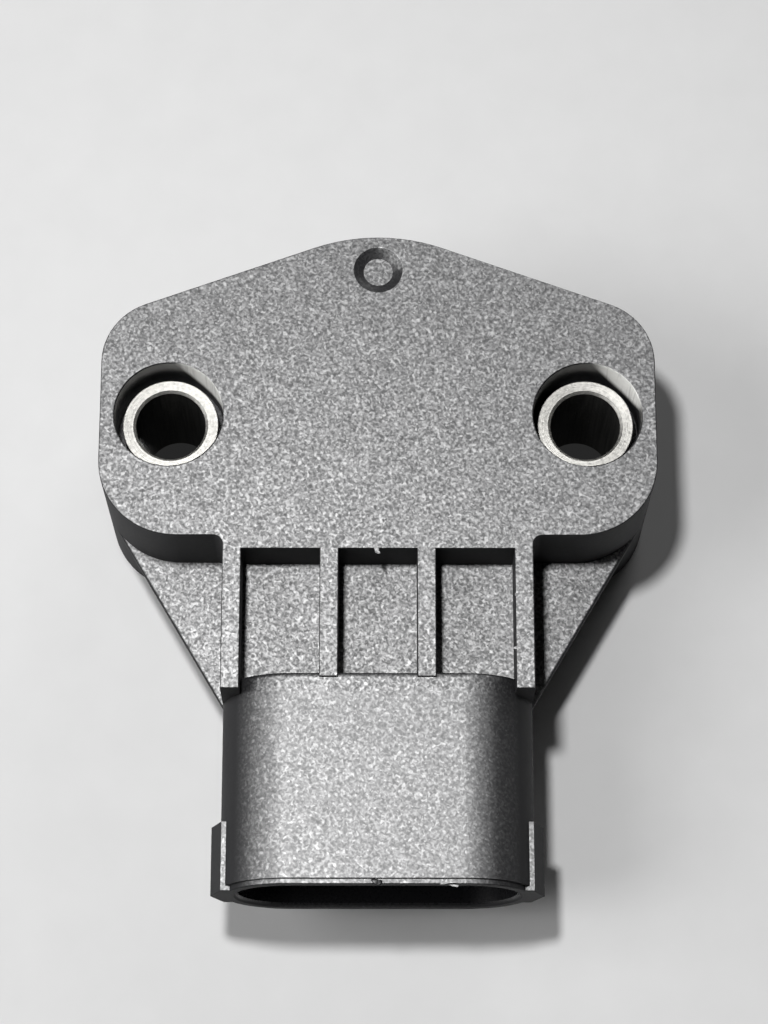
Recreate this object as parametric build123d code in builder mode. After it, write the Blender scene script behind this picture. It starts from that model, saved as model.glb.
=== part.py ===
"""Throttle position sensor: a rotary potentiometer in a moulded housing with its own plug socket.

Millimetres. The origin lies midway between the two mounting holes, on the mounting face.
+Z points out of the front face, +Y to the rounded apex, and the socket opens towards -Y.
Distances towards the socket are positive lengths from the line of the holes.
"""
import os
from math import asin, atan2, cos, degrees, hypot, radians, sin, sqrt, tan

from build123d import *

os.makedirs("parts", exist_ok=True)

# Flange body
body_height = 14.5
ear_overhang = 5.25
apex_reach = 14.65
top_slope = 20.0
apex_radius = 14.5
shoulder_radius = 5.0
ear_front = 9.7
ear_corner_radius = 6.0
front_edge_radius = 0.1
recess_edge_radius = 0.12

# Compression limiters and the recesses above them
bushing_bore = 5.4
bushing_diameter = 7.4
bushing_recess = 2.65
bushing_chamfer = 0.2
bushing_edge_break = 0.06
bushing_land = 1.1
counterbore_diameter = 8.3
counterbore_depth = 4.6
press_clearance = 0.01

# Conical moulding mark near the apex
mark_inset = 2.75
mark_diameter = 3.8
mark_floor_diameter = 2.25
mark_depth = 0.5

# Ribbed neck between flange and shroud
rib_count = 4
rib_width = 1.42
rib_pitch = 7.33
pocket_start = 10.75
pocket_depth = 4.1
under_pocket_depth = 3.9
neck_corner_radius = 0.7

# Plug shroud
shroud_drop = 0.2
shroud_height = 10.6
shroud_side_flat = 0.1
shroud_rear = 20.7
shroud_length = 15.05
shroud_wall = 1.3
shroud_rear_edge_radius = 0.4
lip_length = 0.4
lip_inset = 0.3
lip_edge_radius = 0.08
socket_depth = 12.5
mouth_chamfer = 0.3
rib_overrun = 0.9

# Tapered latch rails at the sides of the mouth
rail_length = 5.2
rail_proud = 0.72
rail_height = 4.5
rail_root_inset = 0.14

# Triangular gussets, tangent to the ears' corners
gusset_drop = 7.1
gusset_thickness = 1.0
gusset_end = 21.5
gusset_edge_radius = 0.2

# Rotor chamber, open to the back
front_wall = 2.6
chamber_radius = 8.2
cover_seat_radius = 9.0
cover_seat_depth = 2.3

# Seal ring and its groove in the mounting face
seal_groove_gap = 0.7
seal_groove_width = 1.5
seal_groove_depth = 1.3
seal_boss_wall = 1.5
seal_clearance = 0.05
seal_edge_radius = 0.5

# Coring of the ears from the back
core_wall = 1.8
core_depth = 11.0
core_boss_wall = 1.6
core_inner = 10.5
core_web = 9.2
core_corner_radius = 0.3

# Terminals
blade_width = 2.8
blade_thickness = 0.8
blade_pitch = 5.0
blade_setback = 4.6
blade_lead_in = 0.25
riser_reach = 9.9
tab_reach = 5.0

# Track card and printed tracks
card_thickness = 0.8
card_clearance = 0.15
card_hole_radius = 2.7
track_thickness = 0.05
track_width = 0.8
resistor_radius = 6.3
collector_radius = 4.4
resistor_sweep = 120.0
trace_end_angle = -46.0

# Rotor
running_clearance = 0.05
hub_radius = 5.2
hub_recess = 0.4
drive_radius = 4.0
drive_flat = 2.9
drive_depth = 6.0
drive_chamfer = 0.4
disc_radius = 7.6
disc_thickness = 1.2
stub_radius = 2.0
bearing_depth = 1.4
end_float = 0.2

# Rotor travel and its stops on the chamber wall
travel = 95.0
stop_margin = 1.0
stop_width = 1.2
stop_clearance = 0.15
stop_bite = 0.2
lug_width = 1.6
lug_rest_angle = 222.5

# Wiper
wiper_space = 0.9
wiper_rest_angle = 42.5
wiper_sheet = 0.15
wiper_finger_width = 0.7
wiper_length = 3.4
wiper_base_length = 1.4
wiper_tip_length = 0.45
wiper_tip_drop = 0.1
contact_clearance = 0.04
stake_radius = 0.45
stake_head_radius = 0.7
stake_head_height = 0.25
stake_clearance = 0.03

# Return spring
spring_wire = 0.6
spring_radius = 6.1
spring_turns = 5.25
spring_clearance = 0.3
spring_anchor_angle = 200.0
spring_anchor_depth = 0.6
catch_width = 0.9
catch_length = 1.1
catch_reach = 7.4
catch_clearance = 0.05

# Rear cover
cover_recess = 0.3
cover_rim = 1.1
cover_collar = 1.0
cover_dish = 0.5
cover_chamfer = 0.3

# Heights and places that follow from the sizes above
seal_groove_inner = cover_seat_radius + seal_groove_gap
seal_groove_outer = seal_groove_inner + seal_groove_width
seal_boss_radius = seal_groove_outer + seal_boss_wall
hole_spacing = 2 * (seal_groove_outer + bushing_land) + bushing_diameter
flange_width = hole_spacing + 2 * ear_overhang
mark_reach = apex_reach - mark_inset
apex_vertex = apex_reach + apex_radius * (1 / cos(radians(top_slope)) - 1)
shoulder_vertex = apex_vertex - flange_width / 2 * tan(radians(top_slope))
neck_width = (rib_count - 1) * rib_pitch + rib_width
pocket_width = rib_pitch - rib_width
rail_root = neck_width / 2 - rail_root_inset
shroud_mid = body_height - shroud_drop - shroud_height / 2
shroud_bottom = shroud_mid - shroud_height / 2
shroud_corner = (shroud_height - shroud_side_flat) / 2
shroud_front = shroud_rear + shroud_length
mouth = shroud_front + lip_length
chamber_top = body_height - front_wall
card_face = chamber_top - card_thickness
disc_top = card_face - wiper_space
disc_bottom = disc_top - disc_thickness
bearing_radius = stub_radius + running_clearance
stop_inner = disc_radius + stop_clearance
lug_outer = chamber_radius - stop_clearance
stop_bottom = disc_bottom - stop_bite
stop_spread = degrees(asin(stop_width / 2 / stop_inner) + asin(lug_width / 2 / stop_inner)) + stop_margin
stop_angles = [lug_rest_angle - stop_spread, lug_rest_angle + travel + stop_spread]
spring_start = cover_seat_depth + spring_clearance + spring_wire / 2
spring_rise = disc_bottom - spring_clearance - spring_wire / 2 - spring_start
spring_slot_width = spring_wire + spring_clearance
catch_inner = spring_radius + spring_wire / 2 + spring_clearance
leg_offset = spring_wire / 2 + catch_width / 2 + catch_clearance
catch_angle = spring_anchor_angle + 360 * spring_turns - degrees(asin(leg_offset / catch_reach))
wiper_mid_radius = (resistor_radius + collector_radius) / 2
stake_place = (wiper_mid_radius, wiper_base_length / 2 - wiper_length)
hole_places = {"left": (-hole_spacing / 2, 0), "right": (hole_spacing / 2, 0)}


def angled_plane(angle, height):
    """Level plane at a height, its X axis pointing outwards at an angle about the rotor's axis."""
    outwards = (cos(radians(angle)), sin(radians(angle)), 0)
    return Plane(origin=(0, 0, height), x_dir=outwards, z_dir=(0, 0, 1))


# Outline of the flange: straight slopes to a rounded apex, round shoulders and round lower corners
with BuildSketch() as flange_outline:
    with BuildLine():
        FilletPolyline(
            (0, apex_vertex),
            (flange_width / 2, shoulder_vertex),
            (flange_width / 2, -ear_front),
            (-flange_width / 2, -ear_front),
            (-flange_width / 2, shoulder_vertex),
            radius=[apex_radius, shoulder_radius, ear_corner_radius, ear_corner_radius, shoulder_radius],
            close=True,
        )
    make_face()

# Terminals: flat blades in the socket, a riser beside the chamber and a tab behind the track card
terminals = []
for step, terminal_name in enumerate(["terminal_ground", "terminal_signal", "terminal_supply"]):
    with BuildPart() as terminal:
        with BuildSketch(Plane.YZ.offset((step - 1) * blade_pitch)):
            with BuildLine():
                Polyline(
                    (blade_setback - mouth, shroud_mid - blade_thickness / 2),
                    (blade_thickness - riser_reach, shroud_mid - blade_thickness / 2),
                    (blade_thickness - riser_reach, chamber_top),
                    (-tab_reach, chamber_top),
                    (-tab_reach, chamber_top + blade_thickness),
                    (-riser_reach, chamber_top + blade_thickness),
                    (-riser_reach, shroud_mid + blade_thickness / 2),
                    (blade_setback - mouth, shroud_mid + blade_thickness / 2),
                    close=True,
                )
            make_face()
        extrude(amount=blade_width / 2, both=True)
        chamfer(terminal.faces().sort_by(Axis.Y)[0].edges(), blade_lead_in)
    terminal.part.label = terminal_name
    export_step(terminal.part, f"parts/{terminal_name}.step")
    terminals.append(terminal.part)

# Ears are cored from the back between the outer wall, the bushing bosses and the chamber's ring
with BuildSketch() as ear_cores:
    add(flange_outline.sketch)
    offset(amount=-core_wall, mode=Mode.REPLACE)
    with Locations(*hole_places.values()):
        Circle(bushing_diameter / 2 + core_boss_wall, mode=Mode.SUBTRACT)
    with GridLocations(hole_spacing + flange_width / 2, 0, 2, 1):
        Rectangle(flange_width / 2, core_web, mode=Mode.SUBTRACT)
    Circle(seal_boss_radius, mode=Mode.SUBTRACT)
    Rectangle(2 * core_inner, 2 * (apex_reach + ear_front), mode=Mode.SUBTRACT)
    straight_ends = ear_cores.edges().filter_by(Axis.Y)
    inner_ends = straight_ends.filter_by_position(Axis.X, -hole_spacing / 2, hole_spacing / 2)
    fillet(inner_ends.vertices(), core_corner_radius)

# Gusset outlines: from the shroud's side, tangent to the round corner of the ear
corner_x = flange_width / 2 - ear_corner_radius
corner_y = ear_corner_radius - ear_front
corner_run = hypot(corner_x - neck_width / 2, corner_y + gusset_end)
tangent_length = sqrt(corner_run**2 - ear_corner_radius**2)
corner_heading = atan2(corner_y + gusset_end, corner_x - neck_width / 2)
tangent_angle = corner_heading - asin(ear_corner_radius / corner_run)
with BuildSketch() as gusset_outline:
    with BuildLine():
        Polyline(
            (0, -gusset_end),
            (neck_width / 2, -gusset_end),
            (
                neck_width / 2 + tangent_length * cos(tangent_angle),
                tangent_length * sin(tangent_angle) - gusset_end,
            ),
            (corner_x, corner_y),
            (0, corner_y),
            close=True,
        )
    make_face()
    mirror(about=Plane.YZ)

with BuildPart() as gussets:
    with BuildSketch(Plane.XY.offset(body_height - gusset_drop)):
        add(gusset_outline.sketch)
    extrude(amount=-gusset_thickness)
    fillet(gussets.edges().filter_by(Axis.Z, reverse=True), gusset_edge_radius)

# Shroud body, still solid, with a soft rear edge that ends in line with the ribs
with BuildPart() as shroud:
    with BuildSketch(Plane.XZ.offset(shroud_rear - shroud_rear_edge_radius)):
        with Locations((0, shroud_mid)):
            RectangleRounded(neck_width, shroud_height, shroud_corner)
    extrude(amount=shroud_length + shroud_rear_edge_radius)
    fillet(shroud.faces().sort_by(Axis.Y)[-1].edges(), shroud_rear_edge_radius)

# Housing: one moulding with flange, ribbed neck, plug shroud and the rotor chamber
with BuildPart() as housing:
    add(flange_outline.sketch)
    extrude(amount=body_height)

    # Round boss for the seal groove, then the neck block, flush with the front face, and the outer
    # ribs' ends over the shroud's round corners
    with BuildSketch():
        Circle(seal_boss_radius)
    extrude(amount=shroud_bottom + under_pocket_depth)
    with BuildSketch(Plane.XY.offset(shroud_bottom)):
        with Locations((0, -shroud_rear / 2)):
            Rectangle(neck_width, shroud_rear)
        with Locations((0, -ear_front)):
            Rectangle(neck_width + 2 * neck_corner_radius, 2 * neck_corner_radius)
        with Locations((0, -ear_front - neck_corner_radius)):
            with GridLocations(neck_width + 2 * neck_corner_radius, 0, 2, 1):
                Circle(neck_corner_radius, mode=Mode.SUBTRACT)
    extrude(amount=body_height - shroud_bottom)
    with BuildSketch(Plane.XY.offset(shroud_mid)):
        with Locations((0, -(shroud_rear + rib_overrun) / 2)):
            with GridLocations(neck_width - rib_width, 0, 2, 1):
                Rectangle(rib_width, shroud_rear + rib_overrun)
    extrude(amount=body_height - shroud_mid)
    add(gussets.part)

    # Pockets between the ribs, above and below the web that holds the terminals
    for level, start, depth in (
        (body_height, pocket_start, -pocket_depth),
        (shroud_bottom, seal_boss_radius, under_pocket_depth),
    ):
        with BuildSketch(Plane.XY.offset(level)):
            with Locations((0, -(start + shroud_rear) / 2)):
                with GridLocations(rib_pitch, 0, rib_count - 1, 1):
                    Rectangle(pocket_width, shroud_rear - start)
        extrude(amount=depth, mode=Mode.SUBTRACT)

    # Soft edge round the front face and its pockets
    front_rim = housing.faces().sort_by(Axis.Z)[-1].outer_wire()
    fillet(front_rim.edges(), front_edge_radius)

    # Shroud with its latch rails and the stepped lip of its mouth, then the socket with a lead-in
    add(shroud.part)
    with BuildSketch(Plane.XZ.offset(mouth)):
        with BuildLine():
            Polyline(
                (neck_width / 2 + rail_proud, shroud_mid),
                (rail_root, shroud_mid + rail_height / 2),
                (-rail_root, shroud_mid + rail_height / 2),
                (-neck_width / 2 - rail_proud, shroud_mid),
                (-rail_root, shroud_mid - rail_height / 2),
                (rail_root, shroud_mid - rail_height / 2),
                close=True,
            )
        make_face()
    extrude(amount=-rail_length)
    with BuildSketch(Plane.XZ.offset(shroud_front)):
        with Locations((0, shroud_mid)):
            RectangleRounded(
                neck_width - 2 * lip_inset,
                shroud_height - 2 * lip_inset,
                shroud_corner - lip_inset,
            )
    extrude(amount=lip_length)
    fillet(housing.faces().sort_by(Axis.Y)[0].edges(), lip_edge_radius)
    with BuildSketch(Plane.XZ.offset(mouth)):
        with Locations((0, shroud_mid)):
            RectangleRounded(
                neck_width - 2 * shroud_wall,
                shroud_height - 2 * shroud_wall,
                shroud_corner - shroud_wall,
            )
    extrude(amount=-socket_depth, mode=Mode.SUBTRACT)
    mouth_rim = housing.faces().sort_by(Axis.Y)[0].inner_wires()[0]
    chamfer(mouth_rim.edges(), mouth_chamfer)

    # Bushing bores, the recesses above them and the conical mark
    with BuildSketch(Plane.XY.offset(body_height)):
        with Locations(*hole_places.values()):
            Circle(counterbore_diameter / 2)
    extrude(amount=-counterbore_depth, mode=Mode.SUBTRACT)
    with BuildSketch():
        with Locations(*hole_places.values()):
            Circle(bushing_diameter / 2 + press_clearance)
    extrude(amount=body_height, mode=Mode.SUBTRACT)
    with BuildSketch(Plane.XZ.offset(-mark_reach)):
        with BuildLine():
            Polyline(
                (0, body_height),
                (0, body_height - mark_depth),
                (mark_floor_diameter / 2, body_height - mark_depth),
                (mark_diameter / 2, body_height),
                close=True,
            )
        make_face()
    revolve(axis=Axis((0, mark_reach, 0), (0, 0, 1)), mode=Mode.SUBTRACT)

    round_edges = housing.edges().filter_by(GeomType.CIRCLE).filter_by(lambda edge: edge.is_closed)
    fillet(round_edges.group_by(Axis.Z)[-1], recess_edge_radius)

    # Back of the body: ear cores, seal groove, cover seat, rotor chamber and blind bearing
    add(ear_cores.sketch)
    extrude(amount=core_depth, mode=Mode.SUBTRACT)
    with BuildSketch():
        Circle(seal_groove_outer)
        Circle(seal_groove_inner, mode=Mode.SUBTRACT)
    extrude(amount=seal_groove_depth, mode=Mode.SUBTRACT)
    for radius, depth in (
        (cover_seat_radius, cover_seat_depth),
        (chamber_radius, chamber_top),
        (bearing_radius, chamber_top + bearing_depth),
    ):
        with BuildSketch():
            Circle(radius)
        extrude(amount=depth, mode=Mode.SUBTRACT)

    # Stops on the chamber's wall, the slot for the spring's fixed leg and the moulded-in terminals
    for angle in stop_angles:
        with BuildSketch(angled_plane(angle, stop_bottom)):
            with Locations(((stop_inner + chamber_radius + stop_bite) / 2, 0)):
                Rectangle(chamber_radius + stop_bite - stop_inner, stop_width)
        extrude(amount=chamber_top - stop_bottom)
    with BuildSketch(angled_plane(spring_anchor_angle, cover_seat_depth)):
        with Locations(((chamber_radius + spring_anchor_depth) / 2, 0)):
            Rectangle(chamber_radius + spring_anchor_depth, spring_slot_width)
    extrude(amount=spring_wire + 2 * spring_clearance, mode=Mode.SUBTRACT)
    for blade in terminals:
        add(blade, mode=Mode.SUBTRACT)
housing.part.label = "housing"
export_step(housing.part, "parts/housing.step")

# Bushings: turned sleeves that take the bolts' load, chamfered at both ends
for side, place in hole_places.items():
    with BuildPart() as bushing:
        with BuildSketch():
            with Locations(place):
                Circle(bushing_diameter / 2)
                Circle(bushing_bore / 2, mode=Mode.SUBTRACT)
        extrude(amount=body_height - bushing_recess)
        bore_rims, outer_rims = bushing.edges().filter_by(GeomType.CIRCLE).group_by(SortBy.RADIUS)
        chamfer(bore_rims, bushing_chamfer)
        chamfer(outer_rims, bushing_edge_break)
    bushing.part.label = f"bushing_{side}"
    export_step(bushing.part, f"parts/bushing_{side}.step")

# Track card: round insulating card on the chamber's floor, notched round the stops
with BuildPart() as track_card:
    with BuildSketch(Plane.XY.offset(card_face)):
        Circle(chamber_radius - card_clearance)
        Circle(card_hole_radius, mode=Mode.SUBTRACT)
        for angle in stop_angles:
            with PolarLocations(chamber_radius, 1, start_angle=angle):
                Rectangle(
                    2 * (chamber_radius - stop_inner + card_clearance),
                    stop_width + 2 * card_clearance,
                    mode=Mode.SUBTRACT,
                )
    extrude(amount=card_thickness)
track_card.part.label = "track_card"
export_step(track_card.part, "parts/track_card.step")

# Resistor track: printed carbon arc under the outer finger
with BuildPart() as resistor_track:
    with BuildSketch(Plane.XY.offset(card_face)):
        with BuildLine():
            CenterArc((0, 0), resistor_radius, 90 - resistor_sweep / 2, resistor_sweep)
        trace(line_width=track_width)
    extrude(amount=-track_thickness)
resistor_track.part.label = "resistor_track"
export_step(resistor_track.part, "parts/resistor_track.step")

# End traces: printed leads from the ends of the resistor to the outer terminals
with BuildPart() as end_traces:
    with BuildSketch(Plane.XY.offset(card_face)):
        with BuildLine():
            CenterArc(
                (0, 0), resistor_radius, trace_end_angle, 90 - resistor_sweep / 2 - trace_end_angle
            )
        trace(line_width=track_width)
        mirror(about=Plane.YZ)
    extrude(amount=-track_thickness)
end_traces.part.label = "end_traces"
export_step(end_traces.part, "parts/end_traces.step")

# Collector track: printed ring under the inner finger with a lead to the middle terminal
with BuildPart() as collector_track:
    with BuildSketch(Plane.XY.offset(card_face)):
        Circle(collector_radius + track_width / 2)
        with Locations((0, -(collector_radius + resistor_radius) / 2)):
            Rectangle(track_width, resistor_radius - collector_radius + track_width)
        Circle(collector_radius - track_width / 2, mode=Mode.SUBTRACT)
    extrude(amount=-track_thickness)
collector_track.part.label = "collector_track"
export_step(collector_track.part, "parts/collector_track.step")

# Rotor: moulded hub with a D-shaped drive socket, a disc with the stop lug and a bearing stub
with BuildPart() as rotor:
    with BuildSketch(Plane.XZ):
        with BuildLine():
            Polyline(
                (0, hub_recess),
                (hub_radius, hub_recess),
                (hub_radius, disc_bottom),
                (disc_radius, disc_bottom),
                (disc_radius, disc_top),
                (stub_radius, disc_top),
                (stub_radius, chamber_top + bearing_depth - end_float),
                (0, chamber_top + bearing_depth - end_float),
                close=True,
            )
        make_face()
    revolve(axis=Axis.Z)
    with BuildSketch(Plane.XY.offset(hub_recess)):
        Circle(drive_radius)
        with Locations((0, -drive_flat - drive_radius)):
            Rectangle(2 * drive_radius, 2 * drive_radius, mode=Mode.SUBTRACT)
    extrude(amount=drive_depth, mode=Mode.SUBTRACT)
    socket_rim = rotor.faces().sort_by(Axis.Z)[0].inner_wires()[0]
    chamfer(socket_rim.edges(), drive_chamfer)
    with BuildSketch(angled_plane(lug_rest_angle, disc_bottom)):
        with Locations(((hub_radius + lug_outer) / 2, 0)):
            Rectangle(lug_outer - hub_radius, lug_width)
    extrude(amount=disc_thickness)
    with BuildSketch(angled_plane(catch_angle, disc_bottom)):
        with Locations(((catch_inner + catch_reach) / 2, 0)):
            Rectangle(catch_reach - catch_inner, catch_width)
    extrude(amount=-catch_length)
    with BuildSketch(angled_plane(wiper_rest_angle, disc_top)):
        with Locations(stake_place):
            Circle(stake_radius)
    extrude(amount=wiper_sheet + stake_clearance)
    with BuildSketch(angled_plane(wiper_rest_angle, disc_top + wiper_sheet + stake_clearance)):
        with Locations(stake_place):
            Circle(stake_head_radius)
    extrude(amount=stake_head_height)
rotor.part.label = "rotor"
export_step(rotor.part, "parts/rotor.step")

# Wiper: sprung sheet with two raised fingers, held on the disc by a staked post
tip_top = wiper_space - track_thickness - contact_clearance
root = wiper_base_length - wiper_length
tangent = (-sin(radians(wiper_rest_angle)), cos(radians(wiper_rest_angle)), 0)
outwards = (cos(radians(wiper_rest_angle)), sin(radians(wiper_rest_angle)), 0)
with BuildPart() as wiper:
    with BuildSketch(angled_plane(wiper_rest_angle, disc_top)):
        with Locations(stake_place):
            Rectangle(resistor_radius - collector_radius + wiper_finger_width, wiper_base_length)
            Circle(stake_radius + stake_clearance, mode=Mode.SUBTRACT)
    extrude(amount=wiper_sheet)
    for radius in (collector_radius, resistor_radius):
        finger_origin = (radius * outwards[0], radius * outwards[1], disc_top)
        with BuildSketch(Plane(origin=finger_origin, x_dir=tangent, z_dir=outwards)):
            with BuildLine():
                Polyline(
                    (root - wiper_sheet, 0),
                    (root, 0),
                    (-wiper_tip_length, tip_top - wiper_sheet),
                    (0, tip_top - wiper_tip_drop - wiper_sheet),
                    (0, tip_top - wiper_tip_drop),
                    (-wiper_tip_length, tip_top),
                    (root - wiper_sheet, wiper_sheet),
                    close=True,
                )
            make_face()
        extrude(amount=wiper_finger_width / 2, both=True)
wiper.part.label = "wiper"
export_step(wiper.part, "parts/wiper.step")

# Return spring: torsion coil round the hub, one leg in the housing's slot, one on the rotor's catch
coil = angled_plane(spring_anchor_angle, spring_start) * Helix(
    spring_rise / spring_turns, spring_rise, spring_radius
)
with BuildPart() as return_spring:
    with BuildSketch(Plane(origin=coil @ 0, z_dir=coil % 0)):
        Circle(spring_wire / 2)
    sweep(path=coil, is_frenet=True)
    for end, reach in ((0, chamber_radius + spring_anchor_depth - spring_clearance), (1, catch_reach)):
        start = coil @ end
        with BuildSketch(Plane(origin=start, z_dir=(start.X, start.Y, 0))):
            Circle(spring_wire / 2)
        extrude(amount=reach - spring_radius)
        with Locations(start):
            Sphere(spring_wire / 2)
return_spring.part.label = "return_spring"
export_step(return_spring.part, "parts/return_spring.step")

# Rear cover: dished ring pressed into its seat, its bore carries the rotor's hub
cover_bore = hub_radius + running_clearance
cover_edge = cover_seat_radius - press_clearance
with BuildPart() as rear_cover:
    with BuildSketch(Plane.XZ):
        with BuildLine():
            Polyline(
                (cover_bore, cover_recess),
                (cover_bore + cover_collar, cover_recess),
                (cover_bore + cover_collar, cover_recess + cover_dish),
                (cover_edge - cover_rim, cover_recess + cover_dish),
                (cover_edge - cover_rim, cover_recess),
                (cover_edge - cover_chamfer, cover_recess),
                (cover_edge, cover_recess + cover_chamfer),
                (cover_edge, cover_seat_depth),
                (cover_bore, cover_seat_depth),
                close=True,
            )
        make_face()
    revolve(axis=Axis.Z)
rear_cover.part.label = "rear_cover"
export_step(rear_cover.part, "parts/rear_cover.step")

# Flange seal: rubber ring in its groove, at the height that it has when bolted down
seal_height = seal_groove_depth - seal_clearance
with BuildPart() as flange_seal:
    with BuildSketch(Plane.XZ):
        with Locations(((seal_groove_inner + seal_groove_outer) / 2, seal_clearance + seal_height / 2)):
            RectangleRounded(seal_groove_width - 2 * seal_clearance, seal_height, seal_edge_radius)
    revolve(axis=Axis.Z)
flange_seal.part.label = "flange_seal"
export_step(flange_seal.part, "parts/flange_seal.step")
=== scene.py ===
from math import cos, pi, radians, sin

import bmesh
import bpy
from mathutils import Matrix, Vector


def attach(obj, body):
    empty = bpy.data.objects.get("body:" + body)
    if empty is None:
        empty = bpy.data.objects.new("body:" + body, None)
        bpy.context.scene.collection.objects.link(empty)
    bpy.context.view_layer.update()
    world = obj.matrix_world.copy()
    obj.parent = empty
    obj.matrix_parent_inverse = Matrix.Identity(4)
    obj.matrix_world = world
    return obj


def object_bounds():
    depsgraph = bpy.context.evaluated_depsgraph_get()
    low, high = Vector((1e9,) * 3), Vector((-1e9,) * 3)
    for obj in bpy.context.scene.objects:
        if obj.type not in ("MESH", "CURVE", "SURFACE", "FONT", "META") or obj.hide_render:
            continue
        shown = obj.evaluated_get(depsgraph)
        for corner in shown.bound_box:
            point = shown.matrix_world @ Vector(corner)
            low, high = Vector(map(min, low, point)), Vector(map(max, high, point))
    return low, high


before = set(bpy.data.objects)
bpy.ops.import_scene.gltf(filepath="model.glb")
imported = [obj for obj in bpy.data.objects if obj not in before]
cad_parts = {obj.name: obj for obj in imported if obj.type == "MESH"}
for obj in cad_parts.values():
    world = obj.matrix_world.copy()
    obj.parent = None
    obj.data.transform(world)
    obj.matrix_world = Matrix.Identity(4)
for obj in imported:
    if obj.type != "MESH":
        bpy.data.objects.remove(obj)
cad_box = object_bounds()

# Housing: one moulding in black glass-filled nylon with the flange, the ribbed neck and the plug
# shroud. Level faces keep the mould's spark-eroded grain, upright walls were drawn plain along the
# steel as the mould opened, and polished cores left the bolt recesses and the socket smooth.


class Surface:
    """A socket of a material's nodes that takes part in plain arithmetic."""

    def __init__(self, tree, socket=None):
        self.tree = tree
        self.socket = socket

    def node(self, kind, settings, sockets, out=0):
        """Adds a node: its settings first, then the values or links of its sockets."""
        made = self.tree.nodes.new(kind)
        for name, value in settings.items():
            setattr(made, name, value)
        for name, value in sockets.items():
            if isinstance(value, Surface):
                self.tree.links.new(value.socket, made.inputs[name])
            else:
                made.inputs[name].default_value = value
        return Surface(self.tree, made.outputs[out])

    def math(self, operation, first, second=0.0):
        return self.node("ShaderNodeMath", {"operation": operation}, {0: first, 1: second})

    def __add__(self, other):
        return self.math("ADD", self, other)

    __radd__ = __add__

    def __sub__(self, other):
        return self.math("SUBTRACT", self, other)

    def __rsub__(self, other):
        return self.math("SUBTRACT", other, self)

    def __mul__(self, other):
        return self.math("MULTIPLY", self, other)

    __rmul__ = __mul__

    def __pow__(self, other):
        return self.math("POWER", self, other)

    def __rpow__(self, other):
        return self.math("POWER", other, self)

    def __abs__(self):
        return self.math("ABSOLUTE", self)

    def vector(self, operation, other=(0.0, 0.0, 0.0), out="Vector"):
        """Vector Math of this place and another."""
        sockets = {0: self, 1: other}
        return self.node("ShaderNodeVectorMath", {"operation": operation}, sockets, out)

    def part(self, axis):
        """One axis of a place or a direction."""
        return self.node("ShaderNodeSeparateXYZ", {}, {"Vector": self}, axis)

    def step(self, low, high):
        """Rises smoothly from 0 at low to 1 at high."""
        sockets = {"Value": self, "From Min": low, "From Max": high}
        return self.node("ShaderNodeMapRange", {"interpolation_type": "SMOOTHSTEP"}, sockets)

    def tint(self, dark, light):
        """A colour between two, by this value: sockets 6, 7 and 2 are the Mix node's colours."""
        ends = [end if isinstance(end, Surface) else (*end, 1.0) for end in (dark, light)]
        sockets = {0: self, 6: ends[0], 7: ends[1]}
        return self.node("ShaderNodeMix", {"data_type": "RGBA"}, sockets, 2)

    def feed(self, name):
        """Links this socket to the shader."""
        self.tree.links.new(self.socket, self.tree.nodes["Principled BSDF"].inputs[name])


def new_finish(name, **constants):
    """A material with constants on the shader's own sockets, and the place on the object."""
    finish = bpy.data.materials.new(name)
    finish.use_nodes = True
    shader = finish.node_tree.nodes["Principled BSDF"]
    for socket, value in constants.items():
        shader.inputs[socket.replace("_", " ")].default_value = value
    return finish, Surface(finish.node_tree).node("ShaderNodeTexCoord", {}, {}, "Object")


def facing_up_or_down(place):
    """1 on level faces, 0 on upright walls."""
    return abs(place.node("ShaderNodeTexCoord", {}, {}, "Normal").part("Z"))


def off_axis(place, x=0.0, y=0.0):
    """Distance from an upright axis."""
    return place.vector("MULTIPLY", (1.0, 1.0, 0.0)).vector("DISTANCE", (x, y, 0.0), "Value")


def cloud(place, grain, detail=2.0, stretch=(1.0, 1.0, 1.0), curl=0.0):
    """Soft noise with blotches of about one grain, in metres, longer where stretch is larger."""
    scaled = place.vector("DIVIDE", stretch)
    sockets = {"Vector": scaled, "Scale": 1 / grain, "Detail": detail, "Distortion": curl}
    return place.node("ShaderNodeTexNoise", {}, sockets)


def relief(height, depth):
    """Bump of a height field whose full swing is a depth in metres."""
    sockets = {"Height": height, "Distance": depth, "Strength": 1.0}
    height.node("ShaderNodeBump", {}, sockets).feed("Normal")


def dress(node, finish):
    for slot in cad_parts[node].material_slots:
        slot.material = finish


# Places on the moulding. A pair is a soft edge: its mask rises from the first value to the second.
hole_half_spacing = 0.016
recess_edge = (0.0042, 0.0044)
recess_floor_start = (0.0085, 0.0095)
recess_floor_end = (0.0105, 0.0115)
mark_along = 0.0119
mark_edge = (0.00195, 0.00205)
chamber_edge = (0.0079, 0.0089)
shroud_end = (-0.0222, -0.0212)
socket_half_length = 0.0064
socket_height = 0.009
socket_edge = (0.0041, 0.00425)
lit_side_x, lit_side_y = 0.72, 0.69
highlight_slope = 3.0
highlight_edge = (0.0233, 0.0245)
highlight_ends = (0.0029, 0.0039)
lit_side_edge = (0.0010, 0.0015)
grain_turn = (0.6, 0.4, 0.9)
nylon_dark, nylon_light = (0.009, 0.009, 0.01), (0.12, 0.12, 0.122)
nylon_highlight = (0.82, 0.82, 0.79)

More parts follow.
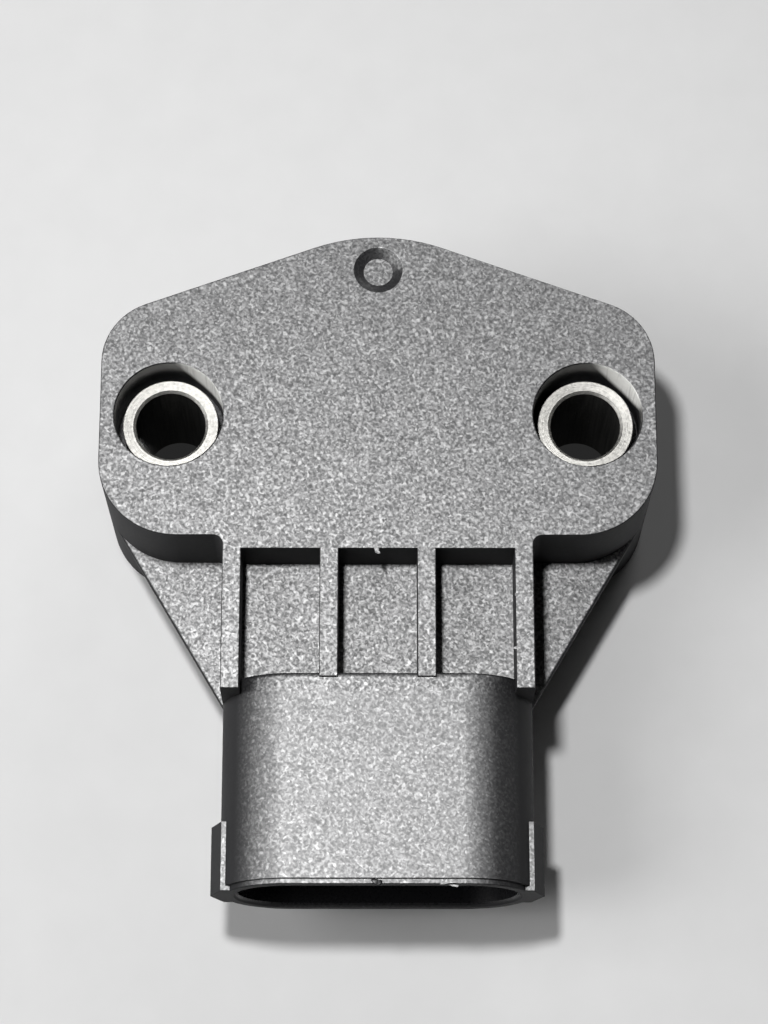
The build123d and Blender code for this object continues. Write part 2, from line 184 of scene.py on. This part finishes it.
nylon, place = new_finish(
    "grained_black_nylon", Specular_IOR_Level=0.3, Coat_Roughness=0.49, Coat_IOR=2.8
)
side, along, height = (place.part(axis) for axis in "XYZ")
levelness = facing_up_or_down(place)
level = levelness.step(0.6, 0.95)
flat = levelness.step(0.88, 0.998)
turning = {"Vector": place, "Rotation": grain_turn}
askew = place.node("ShaderNodeVectorRotate", {"rotation_type": "EULER_XYZ"}, turning)
spark = cloud(askew, grain=0.00022, detail=0.0, curl=0.6)
glints = cloud(askew, grain=0.00028, detail=0.0).step(0.66, 0.76)
blotch = cloud(askew, grain=0.0011)
drift = cloud(place, grain=0.009)
drag = cloud(place, grain=0.0003, detail=1.0, stretch=(1.0, 1.0, 14.0))

# Smooth recesses round the bolts, with painted shade on their floors and a painted highlight on
# their walls on the side towards the light.
cored = 1 - off_axis(place.vector("ABSOLUTE"), x=hole_half_spacing).step(*recess_edge)
on_floor = height.step(*recess_floor_start) * (1 - height.step(*recess_floor_end))
# Painted shade: the recess floors lose most of their lighter tone and sheen.
recess_shade_factor = 1 - cored * on_floor * 0.85
from_hole = side - side.math("SIGN", side) * hole_half_spacing
lean = from_hole * lit_side_x + along * lit_side_y
# Painted highlight: a pale crescent on each recess wall, on the side where the light falls.
crescent = (height + lean * highlight_slope).step(*highlight_edge) * lean.step(*highlight_ends)
wall_highlight = cored * (1 - level) * crescent * (0.7 + drag.step(0.25, 0.5) * 0.3)

# The mark's plain cone, with painted shade: its sheen is cut except on the side towards the light;
# and the faint sink over the chamber behind the front.
lit_side_of_mark = (side * lit_side_x + (along - mark_along) * lit_side_y).step(*lit_side_edge)
shaded_cone = (1 - off_axis(place, y=mark_along).step(*mark_edge)) * (1 - flat) * (1 - lit_side_of_mark)
sink = off_axis(place).step(*chamber_edge)

# The socket's polished inside, painted dark as shade; the grain is bolder on flange and neck than
# on the shroud.
off_shroud = along.step(*shroud_end)
across = side.math("MAXIMUM", abs(side) - socket_half_length, 0.0)
off_socket = (across**2 + (height - socket_height) ** 2) ** 0.5
in_socket = (1 - off_socket.step(*socket_edge)) * (1 - off_shroud)
bold = 0.62 + off_shroud * 0.3
pimples = bold * spark**2 * 1.6 + (1 - bold) * 0.43
grained = level * (1 - in_socket)
drawn = (1 - level) * (1 - cored) * (1 - in_socket)

relief(grained * spark + drawn * drag * 0.1 + blotch * 0.15 + sink * 0.4, depth=0.00007)
# Base colour: random grain and glints, painted lighter on flat faces as sheen, with painted shade
# on the recess floors and inside the socket.
grain_and_painted_sheen = flat * recess_shade_factor * (1 - in_socket) * (0.1 + pimples * 0.9 + blotch * 0.3 + glints * 0.8)
plain = (grain_and_painted_sheen + (1 - flat) * 0.03).tint(nylon_dark, nylon_light)
# The base colour, with the painted highlight crescent laid over it.
wall_highlight.tint(plain, nylon_highlight).feed("Base Color")
polish = (1 - level) * cored * 0.25 + in_socket * 0.28
(0.5 + spark * 0.06 + drift * 0.05 + drawn * 0.15 - polish).feed("Roughness")
sheen = (0.06 + pimples) * (0.8 + blotch * 0.4) + bold * glints * 0.7
(grained * recess_shade_factor * (1 - shaded_cone * 0.75) * sheen).feed("Coat Weight")
dress("housing", nylon)

# Moulding flash: thin nylon squeezed out between the mould's inserts and left untrimmed, as a flap
# at the middle pocket, burrs along the right rib, and a curl and the torn gate on the socket's lip.


def flap(mesh, outline, top, thickness=0.07):
    """A thin plate of flash with a given outline below a height."""
    upper = [mesh.verts.new((x, y, top)) for x, y in outline]
    lower = [mesh.verts.new((x, y, top - thickness)) for x, y in outline]
    mesh.faces.new(upper)
    mesh.faces.new(lower[::-1])
    for i in range(len(outline)):
        mesh.faces.new((upper[i - 1], lower[i - 1], lower[i], upper[i]))


def strand(mesh, points, radius, thin_end=0.25, sides=8, runs=6):
    """A round thread of flash on a smooth curve through points, drawn out thin at both ends."""
    line = [Vector(point) for point in points]
    line = [line[0]] + line + [line[-1]]
    path = []
    for before, start, end, after in zip(line, line[1:], line[2:], line[3:]):
        for i in range(runs):
            t = i / runs
            bend = start * 2 + (end - before) * t
            bend += (before * 2 - start * 5 + end * 4 - after) * t**2
            bend += (start * 3 - before - end * 3 + after) * t**3
            path.append(bend / 2)
    path.append(line[-1])
    last = len(path) - 1
    rounds = [2 * pi * k / sides for k in range(sides)]
    rings = []
    for i, point in enumerate(path):
        turn = (path[min(i + 1, last)] - path[max(i - 1, 0)]).to_track_quat("Z", "Y")
        thick = radius * (thin_end + (1 - thin_end) * sin(pi * i / last))
        ring = [point + turn @ Vector((thick * cos(a), thick * sin(a), 0)) for a in rounds]
        rings.append([mesh.verts.new(corner) for corner in ring])
    for near, far in zip(rings, rings[1:]):
        for k in range(sides):
            mesh.faces.new((near[k - 1], near[k], far[k], far[k - 1]))
    mesh.faces.new(rings[0][::-1])
    mesh.faces.new(rings[-1])


# Outlines and heights of the flash, in millimetres.
millimetre = 0.001
front = 14.5
pocket_flap = [
    (-0.2, -11.06), (0.0, -11.18), (0.2, -11.12), (0.06, -10.9), (0.1, -10.68), (-0.3, -10.68),
]
low_burr = [(10.4, -18.6), (10.4, -18.3), (10.16, -18.42), (10.08, -18.56)]
high_burr = [(10.46, -14.5), (10.48, -14.28), (10.27, -14.24), (10.24, -14.48)]
rib_thread = [
    (10.34, -21.55, 14.3), (10.28, -21.66, 14.0), (10.22, -21.66, 13.7), (10.2, -21.64, 13.4),
]
lip_curl = [
    (4.85, -36.2), (5.2, -36.1), (5.8, -36.1), (5.85, -35.95), (5.05, -35.9), (4.7, -35.98),
    (4.5, -36.19),
]
lip_shred = [(5.1, -36.14), (5.5, -36.3), (5.85, -36.34), (5.9, -36.22), (5.6, -36.14)]
torn_gate = [
    (-0.45, -35.85, 13.96), (-0.2, -35.98, 14.04), (0.0, -36.06, 13.95), (0.18, -36.02, 14.0),
    (0.32, -35.9, 13.93),
]

flash_mesh = bmesh.new()
flap(flash_mesh, pocket_flap, top=front - 0.01)
flap(flash_mesh, low_burr, top=front - 0.02)
flap(flash_mesh, high_burr, top=front + 0.03)
strand(flash_mesh, rib_thread, radius=0.06)
flap(flash_mesh, lip_curl, top=14.1)
flap(flash_mesh, lip_shred, top=13.8)
strand(flash_mesh, torn_gate, radius=0.24)
bmesh.ops.scale(flash_mesh, vec=(millimetre, millimetre, millimetre), verts=flash_mesh.verts)
bmesh.ops.recalc_face_normals(flash_mesh, faces=flash_mesh.faces)
flash_data = bpy.data.meshes.new("moulding_flash")
flash_mesh.to_mesh(flash_data)
flash_mesh.free()
flash_data.materials.append(nylon)
flash = bpy.data.objects.new("moulding_flash", flash_data)
bpy.context.scene.collection.objects.link(flash)
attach(flash, "sensor_body")

# Bushings: bright turned steel sleeves pressed into the ears to take the bolts' load. Facing left
# rings on their ends, drilling and reaming left fine lines along the bores.


def lathe_rings(radius, per_metre, detail):
    """Noise in rings, as a lathe leaves them."""
    sockets = {"W": radius, "Scale": per_metre, "Detail": detail}
    return radius.node("ShaderNodeTexNoise", {"noise_dimensions": "1D"}, sockets)


steel, place = new_finish("turned_steel", Metallic=1.0)
end_face = facing_up_or_down(place).step(0.3, 0.8)
from_bore = off_axis(place.vector("ABSOLUTE"), x=hole_half_spacing)
faced = lathe_rings(from_bore, per_metre=16000.0, detail=1.0)
reamed = cloud(place, grain=0.00022, stretch=(1.0, 1.0, 30.0))
pits = cloud(place, grain=0.00025)
relief(end_face * (faced * 0.5 + pits * 0.7) + (1 - end_face) * reamed, depth=0.00003)
# The bores are painted dark as shade inside the holes; the end faces keep the steel's tone.
ends_and_shaded_bores = end_face * (0.4 + pits * 0.9) + (1 - end_face) * reamed * 0.2
ends_and_shaded_bores.tint(dark=(0.02, 0.02, 0.02), light=(0.6, 0.59, 0.56)).feed("Base Color")
(0.42 + pits * 0.2).feed("Roughness")
for ear in ("left", "right"):
    dress("bushing_" + ear, steel)

# Terminals: blades stamped from tinned brass strip, moulded into the neck. The tin shows the
# rolling direction along the blade and dull handling marks.
tin, place = new_finish("tinned_strip", Metallic=1.0)
rolling = cloud(place, grain=0.00012, stretch=(1.0, 40.0, 1.0))
dulled = cloud(place, grain=0.0016, detail=3.0)
relief(rolling, depth=0.000006)
handled = dulled * 0.7 + rolling * 0.3
handled.tint(dark=(0.56, 0.55, 0.52), light=(0.8, 0.79, 0.76)).feed("Base Color")
(0.22 + dulled * 0.25).feed("Roughness")
for use in ("ground", "signal", "supply"):
    dress("terminal_" + use, tin)

# Track card: a fired alumina disc laid on the chamber's floor behind the terminals' tabs. It is
# matt, with a fine sugary surface and slightly warmer patches from the kiln.
alumina, place = new_finish("fired_alumina", IOR=1.6)
sugar = cloud(place, grain=0.00008)
kiln = cloud(place, grain=0.003)
relief(sugar, depth=0.00001)
kiln.tint(dark=(0.74, 0.72, 0.66), light=(0.84, 0.83, 0.8)).feed("Base Color")
(0.5 + sugar * 0.25).feed("Roughness")
dress("track_card", alumina)

# Printed tracks: a carbon resistor arc, silver leads and a silver collector ring, screen-printed on
# the card and fired. The screen's mesh shows in the ink.
screen_mesh = 0.00007
ink_depth = 0.000008
carbon, place = new_finish("printed_carbon")
screen = cloud(place, grain=screen_mesh, detail=1.0)
relief(screen, ink_depth)
screen.tint(dark=(0.012, 0.012, 0.013), light=(0.034, 0.034, 0.035)).feed("Base Color")
(0.35 + screen * 0.2).feed("Roughness")
dress("resistor_track", carbon)

silver, place = new_finish("printed_silver", Metallic=1.0)
screen = cloud(place, grain=screen_mesh, detail=1.0)
tarnish = cloud(place, grain=0.0012, detail=3.0)
relief(screen, ink_depth)
tarnish.tint(dark=(0.55, 0.53, 0.47), light=(0.82, 0.81, 0.79)).feed("Base Color")
(0.34 + screen * 0.2).feed("Roughness")
dress("collector_track", silver)
dress("end_traces", silver)

# Rotor: a dark grey nylon moulding with the drive socket, stop lug and bearing stub. Its skin is
# smoother than the housing's, with faint flow marks round the hub.
hub_nylon, place = new_finish("rotor_nylon", IOR=1.53)
skin = cloud(place, grain=0.00016, detail=1.0)
flow = cloud(place, grain=0.0018, detail=3.0, stretch=(1.0, 1.0, 2.5))
relief(skin * 0.4 + flow * 0.6, depth=0.000015)
flow.tint(dark=(0.052, 0.052, 0.055), light=(0.1, 0.1, 0.103)).feed("Base Color")
(0.36 + skin * 0.14).feed("Roughness")
dress("rotor", hub_nylon)

# Wiper: two sprung fingers cut from nickel-silver sheet and staked on the rotor's disc. The sheet
# has rolling marks along the fingers and a little brown tarnish.
sheet, place = new_finish("sprung_sheet", Metallic=1.0)
rolled = cloud(place, grain=0.00008, stretch=(8.0, 8.0, 1.0))
brown = cloud(place, grain=0.0009, detail=3.0)
relief(rolled, depth=0.000004)
brown.tint(dark=(0.5, 0.37, 0.19), light=(0.8, 0.67, 0.43)).feed("Base Color")
(0.24 + rolled * 0.2).feed("Roughness")
dress("wiper", sheet)

# Return spring: hard-drawn steel wire wound round the hub, one leg in the housing, one on the
# rotor. Drawing left the wire bright with dull streaks round the coil.
wire, place = new_finish("drawn_wire", Metallic=1.0)
streak = cloud(place, grain=0.00012, stretch=(6.0, 6.0, 1.0))
oil = cloud(place, grain=0.0015)
relief(streak, depth=0.000005)
stained = streak * 0.5 + oil * 0.5
stained.tint(dark=(0.36, 0.35, 0.34), light=(0.66, 0.66, 0.65)).feed("Base Color")
(0.2 + oil * 0.25).feed("Roughness")
dress("return_spring", wire)

# Rear cover: a dished ring in smooth black polyester, pressed into its seat behind the rotor. The
# mould insert was turned, so fine rings show on the flat.
polyester, place = new_finish("smooth_black_polyester", IOR=1.55)
insert_rings = lathe_rings(off_axis(place), per_metre=6000.0, detail=2.0)
haze = cloud(place, grain=0.0014, detail=3.0)
relief(insert_rings * 0.6 + haze * 0.4, depth=0.000008)
haze.tint(dark=(0.026, 0.026, 0.028), light=(0.055, 0.055, 0.057)).feed("Base Color")
(0.3 + haze * 0.16).feed("Roughness")
dress("rear_cover", polyester)

# Flange seal: a nitrile ring in the groove of the mounting face, matt, with the pale bloom that
# rubber gets on the shelf.
nitrile, place = new_finish("nitrile_rubber", Specular_IOR_Level=0.35)
bloom = cloud(place, grain=0.0013, detail=4.0).step(0.45, 0.75)
tooth = cloud(place, grain=0.00012)
relief(tooth, depth=0.00001)
bloom.tint(dark=(0.018, 0.018, 0.019), light=(0.045, 0.045, 0.046)).feed("Base Color")
(0.62 + tooth * 0.2).feed("Roughness")
dress("flange_seal", nitrile)

# Studio: a plain pale floor, cut away under the mounting face so that the back shows from below, a
# small lamp overhead, large soft ones at the left and behind, one below, and a faint even sky.
paper, place = new_finish("pale_floor", Specular_IOR_Level=0.1, Roughness=0.9)
fibres = cloud(place, grain=0.004, detail=3.0)
fibres.tint(dark=(0.56, 0.56, 0.56), light=(0.6, 0.6, 0.6)).feed("Base Color")

# The window's edge lies inside the flange's outline, given by its round corners as x, y and radius.
floor_radius = 1.5
floor_drop = 0.00001
floor_points = 144
window_margin = 0.0003
window_seal_radius = 0.0117
window_slant = 0.2
flange_front = 0.0097
flange_corners = [
    (0.0, 0.00015, 0.0145), (0.01625, 0.00435, 0.005), (-0.01625, 0.00435, 0.005),
    (0.01525, -0.0037, 0.006), (-0.01525, -0.0037, 0.006),
]


def flange_tangent(turn):
    """How far from the axis the flange's tangent lies that faces a turn."""
    return max(x * cos(turn) + y * sin(turn) + radius for x, y, radius in flange_corners)


turns = [2 * pi * i / floor_points for i in range(floor_points)]
tangents = [(turn, flange_tangent(turn)) for turn in turns] + [(-pi / 2, flange_front)]
inner, outer, strips = [], [], []
for i, turn in enumerate(turns):
    slants = [(cos(tangent - turn), reach) for tangent, reach in tangents]
    rim = min(reach / slant for slant, reach in slants if slant > window_slant)
    window = max(rim - window_margin, window_seal_radius)
    inner.append((window * cos(turn), window * sin(turn), 0.0))
    outer.append((floor_radius * cos(turn), floor_radius * sin(turn), 0.0))
    after = (i + 1) % floor_points
    strips.append((i, after, floor_points + after, floor_points + i))
floor_mesh = bpy.data.meshes.new("floor")
floor_mesh.from_pydata(outer + inner, [], strips)
floor_mesh.materials.append(paper)
floor = bpy.data.objects.new("floor", floor_mesh)
bpy.context.scene.collection.objects.link(floor)
floor.location.z = cad_box[0][2] - floor_drop


def softbox(name, stand, radius, watts):
    """A round lamp that faces the object."""
    lamp = bpy.data.lights.new(name, "AREA")
    lamp.shape = "DISK"
    lamp.size = 2 * radius
    lamp.energy = watts
    box = bpy.data.objects.new(name, lamp)
    box.location = stand
    box.rotation_euler = Vector(stand).to_track_quat("Z", "Y").to_euler()
    bpy.context.scene.collection.objects.link(box)


softbox("overhead_softbox", stand=(-0.028, -0.002, 0.22), radius=0.01, watts=0.395)
softbox("left_softbox", stand=(-0.36, -0.08, 0.31), radius=0.16, watts=1.6)
softbox("back_softbox", stand=(0.16, 0.42, 0.16), radius=0.15, watts=0.7)
softbox("under_softbox", stand=(0.08, 0.16, -0.26), radius=0.08, watts=0.6)

sky_strength = 0.02
sky = bpy.data.worlds.new("even_sky")
sky.use_nodes = True
sky.node_tree.nodes["Background"].inputs["Color"].default_value = (1.0, 1.0, 1.0, 1.0)
sky.node_tree.nodes["Background"].inputs["Strength"].default_value = sky_strength
bpy.context.scene.world = sky

# Camera: above the flange and a little towards the socket, as in the photograph. The focal length
# is in pixels of the picture, and place and turn come from a fit of the part's own points.
image_height_px = 1024
focal_px = 2950
lens_plate = 24.0
camera_place = (0.00004, -0.07748, 0.22603)
camera_turn_deg = (18.213, -0.121, 0.025)
view = bpy.data.cameras.new("camera")
view.sensor_fit = "VERTICAL"
view.sensor_height = lens_plate
view.lens = focal_px / image_height_px * lens_plate
view.clip_start = 0.01
camera = bpy.data.objects.new("camera", view)
camera.location = camera_place
camera.rotation_euler = [radians(turn) for turn in camera_turn_deg]
bpy.context.scene.collection.objects.link(camera)
bpy.context.scene.camera = camera
bpy.context.scene.view_settings.view_transform = "Standard"
